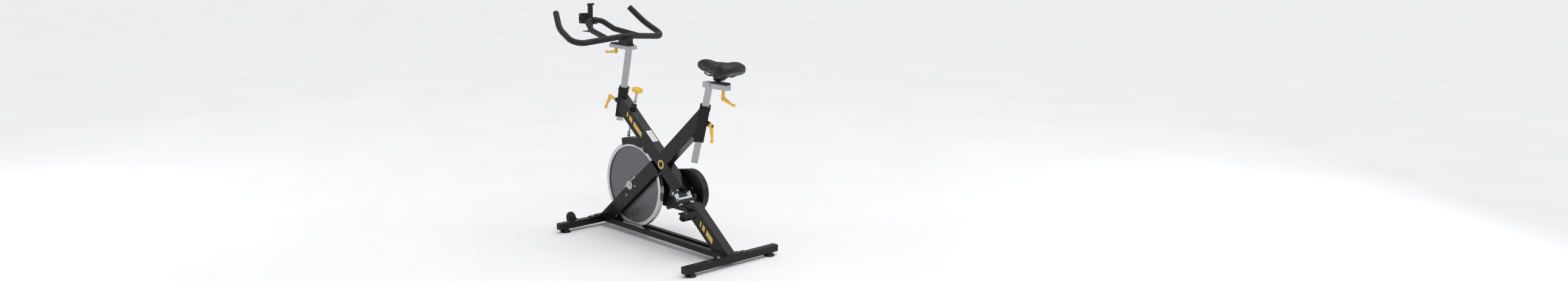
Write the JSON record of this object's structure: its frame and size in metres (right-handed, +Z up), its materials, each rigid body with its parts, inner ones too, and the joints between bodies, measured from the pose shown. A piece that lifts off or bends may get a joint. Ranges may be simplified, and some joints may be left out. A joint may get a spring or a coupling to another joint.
{
  "type": "exercise bike",
  "caption": "Indoor exercise bike with a front flywheel, belt drive guard, sliding saddle and handlebar, clamp levers, brake knob, bottle cage and transport wheels.",
  "frame": {"origin": "on the floor, below the centre of the bounding box", "axes": "+X forward (towards the handlebar), +Y to the rider's left, +Z up"},
  "size_m": [1.2528, 0.632, 1.228],
  "materials": {
    "frame_paint": "gloss black paint",
    "guard_plastic": "satin black moulded plastic",
    "black_plastic": "moulded",
    "steel": "brushed",
    "zinc": "bright zinc",
    "wheel_paint": "satin grey, turned",
    "rim_polish": "polished",
    "alloy": "cast, satin",
    "yellow": "moulded yellow",
    "foam": "fine foam grip",
    "vinyl": "black vinyl",
    "rubber": "plain",
    "strap": "woven strap",
    "felt": "felt",
    "belt": "ribbed"
  },
  "bodies": {
    "frame": {"base_rails": "frame_paint", "front_stabilizer": "frame_paint", "rear_stabilizer": "frame_paint", "main_tube": "frame_paint", "seat_tube": "frame_paint", "fork_legs": "frame_paint", "head_sleeve": "frame_paint", "seat_sleeve": "frame_paint", "sleeve_liners": "black_plastic", "bottom_bracket": "frame_paint", "bearings": "zinc", "guard_inner": "guard_plastic", "guard_outer": "guard_plastic", "guard_back_plate": "zinc", "axle_caps": "zinc", "frame_bolts": "zinc", "end_caps": "black_plastic", "wheel_brackets": "frame_paint", "brake_boot": "black_plastic", "drive_belt": "belt"},
    "crank": {"crank_spindle": "steel", "crank_left": "frame_paint", "crank_right": "frame_paint", "drive_pulley": "alloy"},
    "pedal_l": {"pedal_left": "alloy", "pedal_cage_left": "black_plastic", "toe_clip_left": "black_plastic", "toe_strap_left": "strap"},
    "pedal_r": {"pedal_right": "alloy", "pedal_cage_right": "black_plastic", "toe_clip_right": "black_plastic", "toe_strap_right": "strap"},
    "flywheel": {"flywheel_disc": "wheel_paint", "flywheel_rim": "rim_polish", "flywheel_axle": "steel"},
    "head": {"head_post": "steel", "bar_track": "steel"},
    "bar": {"bar_carriage": "black_plastic", "handlebar": "foam", "bar_loop": "foam", "bottle_cage": "black_plastic"},
    "seat": {"seat_post": "steel", "seat_track": "steel"},
    "saddle": {"saddle_clamp": "zinc", "saddle_shell": "black_plastic", "saddle_pad": "vinyl"},
    "head_lever": {"lever_head": "yellow"},
    "seat_lever": {"lever_seat": "yellow"},
    "bar_lever": {"lever_bar": "yellow"},
    "saddle_lever": {"lever_saddle": "yellow"},
    "brake_push": {"brake_rod": "zinc"},
    "brake_dial": {"brake_knob": "yellow"},
    "brake_shoe": {"brake_arm": "frame_paint", "brake_pad": "felt"},
    "foot_fl": {"foot_front_left": "rubber"},
    "foot_fr": {"foot_front_right": "rubber"},
    "foot_rl": {"foot_rear_left": "rubber"},
    "foot_rr": {"foot_rear_right": "rubber"},
    "roller_l": {"transport_wheel_left": "black_plastic"},
    "roller_r": {"transport_wheel_right": "black_plastic"}
  },
  "joints": [
    {"name": "crank_spin", "type": "hinge", "parent": "frame", "child": "crank", "pos_m": [-0.2315, 0, 0.31], "axis": [0, 1, 0], "continuous": true},
    {"name": "flywheel_spin", "type": "hinge", "parent": "frame", "child": "flywheel", "pos_m": [0.1603, 0, 0.2787], "axis": [0, 1, 0], "continuous": true},
    {"name": "pedal_left_spin", "type": "hinge", "parent": "crank", "child": "pedal_l", "pos_m": [-0.40057, 0.138, 0.32777], "axis": [0, 1, 0], "continuous": true},
    {"name": "pedal_right_spin", "type": "hinge", "parent": "crank", "child": "pedal_r", "pos_m": [-0.06243, -0.184, 0.29223], "axis": [0, 1, 0], "continuous": true},
    {"name": "head_height", "type": "slide", "parent": "frame", "child": "head", "axis": [-0.2045, 0, 0.9789], "range_m": [-0.13, 0.04]},
    {"name": "bar_reach", "type": "slide", "parent": "head", "child": "bar", "axis": [1, 0, 0], "range_m": [-0.03, 0.015]},
    {"name": "seat_height", "type": "slide", "parent": "frame", "child": "seat", "axis": [-0.2554, 0, 0.9668], "range_m": [-0.09, 0.06]},
    {"name": "saddle_reach", "type": "slide", "parent": "seat", "child": "saddle", "axis": [1, 0, 0], "range_m": [-0.026, 0.011]},
    {"name": "head_lever_turn", "type": "hinge", "parent": "frame", "child": "head_lever", "pos_m": [0.26826, 0, 0.71091], "axis": [0.9789, 0, 0.2045], "continuous": true},
    {"name": "seat_lever_turn", "type": "hinge", "parent": "frame", "child": "seat_lever", "pos_m": [-0.37815, 0, 0.70427], "axis": [-0.9668, 0, -0.2554], "continuous": true},
    {"name": "bar_lever_turn", "type": "hinge", "parent": "bar", "child": "bar_lever", "pos_m": [0.3175, 0, 1], "axis": [0, 0, 1], "range_deg": [-120, 120]},
    {"name": "saddle_lever_turn", "type": "hinge", "parent": "saddle", "child": "saddle_lever", "pos_m": [-0.5263, 0, 0.86], "axis": [0, 0, 1], "range_deg": [-120, 120]},
    {"name": "brake_press", "type": "slide", "parent": "frame", "child": "brake_push", "axis": [0.2889, 0, -0.9574], "range_m": [0, 0.003], "stiffness_N_per_m": 3000, "springref_m": -0.003},
    {"name": "brake_turn", "type": "hinge", "parent": "brake_push", "child": "brake_dial", "pos_m": [0.1376, 0, 0.7953], "axis": [0.2889, 0, -0.9574], "continuous": true},
    {"name": "brake_swing", "type": "hinge", "parent": "frame", "child": "brake_shoe", "pos_m": [0.0656, 0, 0.4895], "axis": [0, 1, 0], "range_deg": [0, 1.2]},
    {"name": "foot_fl_level", "type": "slide", "parent": "frame", "child": "foot_fl", "axis": [0, 0, 1], "range_m": [-0.012, 0]},
    {"name": "foot_fr_level", "type": "slide", "parent": "frame", "child": "foot_fr", "axis": [0, 0, 1], "range_m": [-0.012, 0]},
    {"name": "foot_rl_level", "type": "slide", "parent": "frame", "child": "foot_rl", "axis": [0, 0, 1], "range_m": [-0.012, 0]},
    {"name": "foot_rr_level", "type": "slide", "parent": "frame", "child": "foot_rr", "axis": [0, 0, 1], "range_m": [-0.012, 0]},
    {"name": "roller_l_spin", "type": "hinge", "parent": "frame", "child": "roller_l", "pos_m": [0.501, 0.181, 0.048], "axis": [0, 1, 0], "continuous": true},
    {"name": "roller_r_spin", "type": "hinge", "parent": "frame", "child": "roller_r", "pos_m": [0.501, -0.181, 0.048], "axis": [0, 1, 0], "continuous": true}
  ],
  "couplings": [
    {"joint": "flywheel_spin", "follows": "crank_spin", "ratio": 5.5882},
    {"joint": "brake_swing", "follows": "brake_press", "rad_per_m": 6.355}
  ]
}
